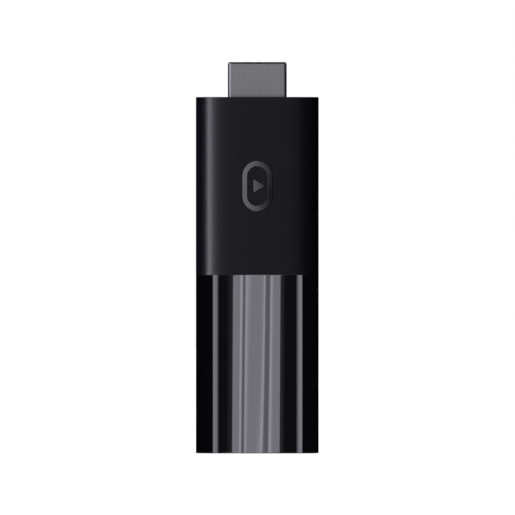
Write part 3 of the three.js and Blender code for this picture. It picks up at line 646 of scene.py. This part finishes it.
def make_materials():
    """One material for each slot of the record."""
    made = {"matte_housing": matte_housing(), "gloss_housing": gloss_housing()}
    made["emblem_gloss"] = plain_finish(
        "emblem_gloss", (0.003, 0.003, 0.004), (0.004, 0.004, 0.005), (0.03, 0.05), 1.5 * MM, 0.00005 * MM)
    made["plug_metal"] = plain_finish(
        "plug_metal", (0.53, 0.53, 0.51), (0.57, 0.57, 0.55), (0.28, 0.34), 0.06 * MM, 0.0004 * MM,
        (1, 1, 14), metallic=1.0)
    made["socket_metal"] = plain_finish(
        "socket_metal", (0.50, 0.50, 0.51), (0.60, 0.60, 0.61), (0.25, 0.34), 0.08 * MM, 0.0005 * MM,
        (10, 1, 1), metallic=1.0)
    made["connector_plastic"] = plain_finish(
        "connector_plastic", (0.010, 0.010, 0.011), (0.016, 0.016, 0.017), (0.4, 0.55), 0.12 * MM, 0.002 * MM)
    made["contact_gold"] = plain_finish(
        "contact_gold", (0.80, 0.56, 0.20), (0.90, 0.68, 0.28), (0.18, 0.28), 0.08 * MM, 0.0006 * MM,
        (1, 1, 8), metallic=1.0)
    made["board_laminate"] = plain_finish(
        "board_laminate", (0.006, 0.045, 0.022), (0.012, 0.075, 0.036), (0.3, 0.5), 0.4 * MM, 0.012 * MM)
    made["chip_epoxy"] = plain_finish(
        "chip_epoxy", (0.012, 0.012, 0.013), (0.018, 0.018, 0.019), (0.55, 0.7), 0.07 * MM, 0.003 * MM)
    made["shield_metal"] = plain_finish(
        "shield_metal", (0.60, 0.60, 0.61), (0.70, 0.70, 0.70), (0.3, 0.42), 0.1 * MM, 0.001 * MM,
        (6, 1, 1), metallic=1.0)
    made["ferrite"] = plain_finish(
        "ferrite", (0.03, 0.03, 0.031), (0.05, 0.05, 0.052), (0.6, 0.8), 0.12 * MM, 0.008 * MM)
    made["lamp"] = plain_finish(
        "lamp", (0.76, 0.74, 0.62), (0.84, 0.82, 0.72), (0.25, 0.35), 0.15 * MM, 0.002 * MM)
    made["clear_plastic"] = plain_finish(
        "clear_plastic", (0.70, 0.73, 0.76), (0.80, 0.83, 0.86), (0.15, 0.25), 0.2 * MM, 0.002 * MM,
        Transmission_Weight=0.5, IOR=1.49)
    made["thermal_pad"] = plain_finish(
        "thermal_pad", (0.22, 0.29, 0.37), (0.30, 0.37, 0.45), (0.8, 0.95), 0.15 * MM, 0.015 * MM)
    made["spreader_aluminium"] = plain_finish(
        "spreader_aluminium", (0.68, 0.68, 0.69), (0.78, 0.78, 0.78), (0.3, 0.4), 0.06 * MM, 0.001 * MM,
        (1, 1, 30), metallic=1.0)
    made["carrier_plastic"] = plain_finish(
        "carrier_plastic", (0.016, 0.016, 0.018), (0.024, 0.024, 0.026), (0.5, 0.65), 0.1 * MM, 0.005 * MM)
    made["screw_steel"] = plain_finish(
        "screw_steel", (0.45, 0.46, 0.48), (0.60, 0.60, 0.62), (0.22, 0.34), 0.1 * MM, 0.001 * MM,
        metallic=1.0)
    return made


def finish_frame_nodes():
    """Every node that keeps its shape gets its slot's material."""
    slots = {row["node"]: row["material_slot"] for row in frame["record"]["subparts"]}
    for name, node in frame["nodes"].items():
        node.data.materials.clear()
        node.data.materials.append(MATERIALS[slots[name]])


# ---- lights ----

RIG_RADIUS = 1.2  # how far the strip lights stand from the stick
RIG_HEIGHT = 3.0
SOFT_HEIGHT = 0.9  # of the soft lights above and below the stick
SOFT_HALF_WIDTH = 0.25  # their half width, in radians
METAL_HEIGHT = 0.42  # of the light ahead of the connectors
BEHIND_START, BEHIND_STEP, BEHIND_END = math.radians(177.6), math.radians(180.4), math.radians(182.4)
LIGHT_TINT = (0.9, 0.88, 1.0)  # cool, like the greys in the photograph
GLOSS_F0 = 0.04  # how much of a light the gloss housing mirrors back
GLOSS_TILT = math.radians(-2.6)  # what a lean of 1 means
GLOSS_RISE = math.radians(-1.6)  # puts the pivot of the tilt half way up the gloss housing's reflection


def reflected_direction(x):
    """Angle from straight ahead, to the right, at which a camera ray that meets the front at x leaves it."""
    y = -HALF_DEPTH * (1 - abs(x / HALF_WIDTH) ** SQUARENESS) ** (1 / SQUARENESS)
    steepness = np.array([abs(x), abs(y)]) ** (SQUARENESS - 1)
    normal = steepness / np.array([HALF_WIDTH, HALF_DEPTH]) ** SQUARENESS * (np.sign(x), -1)
    normal /= np.linalg.norm(normal)
    ray = np.array([x - VIEW_CENTRE_X, y - CAMERA_Y])
    ray /= np.linalg.norm(ray)
    out = ray - 2 * np.dot(ray, normal) * normal
    spot = np.array([x, y]) + out * RIG_RADIUS
    return math.atan2(spot[0], -spot[1])


def strip_light(name, from_angle, to_angle, radiance, receivers, height=RIG_HEIGHT, rise=0.0, tilt=0.0):
    """An upright light on a cylinder round the stick, between two angles from straight ahead. Seen from the
    stick its middle lies at the angle rise above straight out, and it leans by tilt."""
    middle = (from_angle + to_angle) / 2
    width = 2 * RIG_RADIUS * math.tan(abs(to_angle - from_angle) / 2)
    data = bpy.data.lights.new(name, "AREA")
    data.shape = "RECTANGLE"
    data.size = width
    data.size_y = height
    data.energy = radiance * math.pi * width * height / LIGHT_TINT[0]
    data.color = LIGHT_TINT
    light = bpy.data.objects.new(name, data)
    place = Vector((math.sin(middle), -math.cos(middle), math.tan(rise))) * RIG_RADIUS
    light.location = place + Vector((0, 0, VIEW_CENTRE_Z))
    light.rotation_mode = "QUATERNION"
    light.rotation_quaternion = Quaternion(place, tilt) @ (-place).to_track_quat("-Z", "Y")
    light.visible_camera = False
    light.light_linking.receiver_collection = receivers
    bpy.context.scene.collection.objects.link(light)


def strip_seen_at(name, left, right, radiance, receivers, **options):
    """A strip light whose reflection covers left to right, in millimetres, on the front of the stick."""
    angles = [reflected_direction(x * MM) for x in (left, right)]
    strip_light(name, *angles, radiance, receivers, **options)


def gloss_lights(receivers):
    """Tall soft lights that the gloss half mirrors: a wide one in three panes with bright edges, a narrow
    one towards each side that fades inwards, and a faint glow between. Each row is left, right, level and
    lean. Levels are the brightness of the reflection, and they add up where lights overlap. A light far
    from the middle leans more, because its reflection moves less for the same lean."""
    wide = [(-5.8, 5.31, 0.088, 4.6), (-5.8, -3.66, 0.072, 3.6)]
    wide += [(-2.98, 1.65, 0.072, 1.5), (2.85, 5.31, 0.072, 2.7)]
    edges = [(-4.2, -3.66, 0.10, 3.4), (-2.98, -2.42, 0.09, 2.4), (-2.42, -2.0, 0.03, 2.4)]
    edges += [(0.8, 1.15, 0.025, 1.4), (1.15, 1.65, 0.12, 1.4)]
    edges += [(2.85, 3.45, 0.09, 2.7), (3.45, 3.75, 0.02, 2.7)]
    glow = [(-7.1, -6.7, 0.004, 4.6), (-6.7, -6.2, 0.008, 4.6), (-6.2, -5.8, 0.014, 4.6)]
    glow += [(5.31, 5.5, 0.026, 4.6), (5.5, 5.95, 0.014, 4.6), (5.95, 6.4, 0.006, 4.6), (-9.3, 9.3, 0.002, 0)]
    for i, (left, right, level, lean) in enumerate(wide + edges + glow):
        tilt = GLOSS_TILT * lean
        strip_seen_at(f"pane_{i}", left, right, level / GLOSS_F0, receivers, tilt=tilt, rise=GLOSS_RISE)
    sides = [(-10.47, -9.5, 0.147), (-10.25, -9.85, 0.024), (-9.5, -9.22, 0.075)]
    sides += [(9.31, 9.62, 0.075), (9.62, 10.62, 0.146), (9.95, 10.45, 0.037)]
    for i, (left, right, level) in enumerate(sides):
        strip_seen_at(f"side_{i}", left, right, level / GLOSS_F0, receivers)


def matte_lights(receivers):
    """A key strip to the left for the long highlight, with a faint one beside it for the highlight's slow
    fall towards the middle, and a wide soft light ahead."""
    strip_seen_at("key", -11.75, -10.85, 5.7, receivers)
    strip_seen_at("key_tail", -10.85, -9.6, 0.35, receivers)
    strip_light("ahead", -math.radians(30), math.radians(24), 0.16, receivers)


def inlay_lights(receivers):
    """The inlay mirrors a light that ends straight ahead, so its left half is bright."""
    strip_light("inlay", -math.radians(4), 0.0, 3.5, receivers)


def metal_lights(receivers):
    """An even light ahead for the connectors, and a brighter one to the left that lines one edge."""
    strip_light("metal_ahead", -math.radians(25), math.radians(34), 0.41, receivers,
                height=METAL_HEIGHT, rise=math.radians(2))
    strip_light("metal_left", -math.radians(70), -math.radians(25), 0.8, receivers)


def surroundings(name, receivers, rise, radiance, above=range(8)):
    """Soft lights below the stick and above it, at multiples of 45 degrees round it. They show on the sides,
    the back and the ends, but hardly from straight ahead."""
    for side, places in ((-1, range(8)), (1, above)):
        for i in places:
            middle = math.pi / 4 * i
            strip_light(f"{name}_{i}_{side}", middle - SOFT_HALF_WIDTH, middle + SOFT_HALF_WIDTH, radiance,
                        receivers, height=SOFT_HEIGHT, rise=side * rise)


def lights_behind(receivers):
    """A pane straight behind with a brighter half, for the back."""
    for i, start in enumerate((BEHIND_START, BEHIND_STEP)):
        strip_light(f"behind_{i}", start, BEHIND_END, 1.0, receivers)


def group(name, names):
    collection = bpy.data.collections.new(name)
    for each in names:
        collection.objects.link(bpy.data.objects[each])
    return collection


def make_lights():
    inlay = ["emblem_capsule", "emblem_triangle"]
    inside = [piece.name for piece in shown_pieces() if piece.name not in (*inlay, "lower_shell", "upper_shell")]
    polished = group("polished", ["lower_shell", *inlay])
    metal = group("connectors_and_inside", inside)
    matte = group("matte", ["upper_shell"])
    gloss_lights(group("gloss", ["lower_shell"]))
    matte_lights(matte)
    inlay_lights(group("inlay", inlay))
    metal_lights(metal)
    surroundings("round_metal", metal, math.radians(33), 0.5, above=range(2, 7))
    surroundings("round_polished", polished, math.radians(25), 0.6)
    surroundings("round_matte", matte, math.radians(46), 0.75)
    lights_behind(group("all_pieces", ["upper_shell", "lower_shell", *inlay, *inside]))


# ---- floor and background ----


FLOOR_HALF = 6.0
FLOOR_Z = -0.02 * MM


def make_stage():
    """A white floor with a faint contact shadow, and a white background that lights nothing."""
    mesh = bpy.data.meshes.new("floor")
    corners = [(-1, -1), (1, -1), (1, 1), (-1, 1)]
    mesh.from_pydata([(x * FLOOR_HALF, y * FLOOR_HALF, FLOOR_Z) for x, y in corners], [], [(0, 1, 2, 3)])
    floor = bpy.data.objects.new("floor", mesh)
    bpy.context.scene.collection.objects.link(floor)
    floor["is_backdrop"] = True
    floor.visible_glossy = False
    floor.visible_diffuse = False
    floor.visible_transmission = False
    floor.visible_shadow = False
    material = bpy.data.materials.new("floor_white")
    material.use_nodes = True
    shader = material.node_tree.nodes["Principled BSDF"]
    shader.inputs["Base Color"].default_value = (0.9, 0.9, 0.9, 1)
    shader.inputs["Roughness"].default_value = 1.0
    shader.inputs["Specular IOR Level"].default_value = 0.0
    shader.inputs["Emission Color"].default_value = (1, 1, 1, 1)
    shader.inputs["Emission Strength"].default_value = 0.8
    material.cycles.emission_sampling = "NONE"
    mesh.materials.append(material)

    data = bpy.data.lights.new("overhead", "SUN")
    data.energy = 1.0
    data.angle = math.radians(100)
    sun = bpy.data.objects.new("overhead", data)
    sun.location = (0, 0, 1)
    sun.light_linking.receiver_collection = group("floor_receivers", ["floor"])
    bpy.context.scene.collection.objects.link(sun)

    world = bpy.data.worlds.new("white")
    bpy.context.scene.world = world
    world.use_nodes = True
    background = world.node_tree.nodes["Background"]
    background.inputs["Color"].default_value = (1, 1, 1, 1)
    background.inputs["Strength"].default_value = 1.0
    for ray in ("diffuse", "glossy", "transmission", "scatter"):
        setattr(world.cycles_visibility, ray, False)
    bpy.context.scene.view_settings.view_transform = "Standard"


make_camera()
MATERIALS = make_materials()
finish_frame_nodes()
upper_housing()
lower_housing()
emblem()
plug()
power_socket()
lamp_lens()
make_stage()
make_lights()
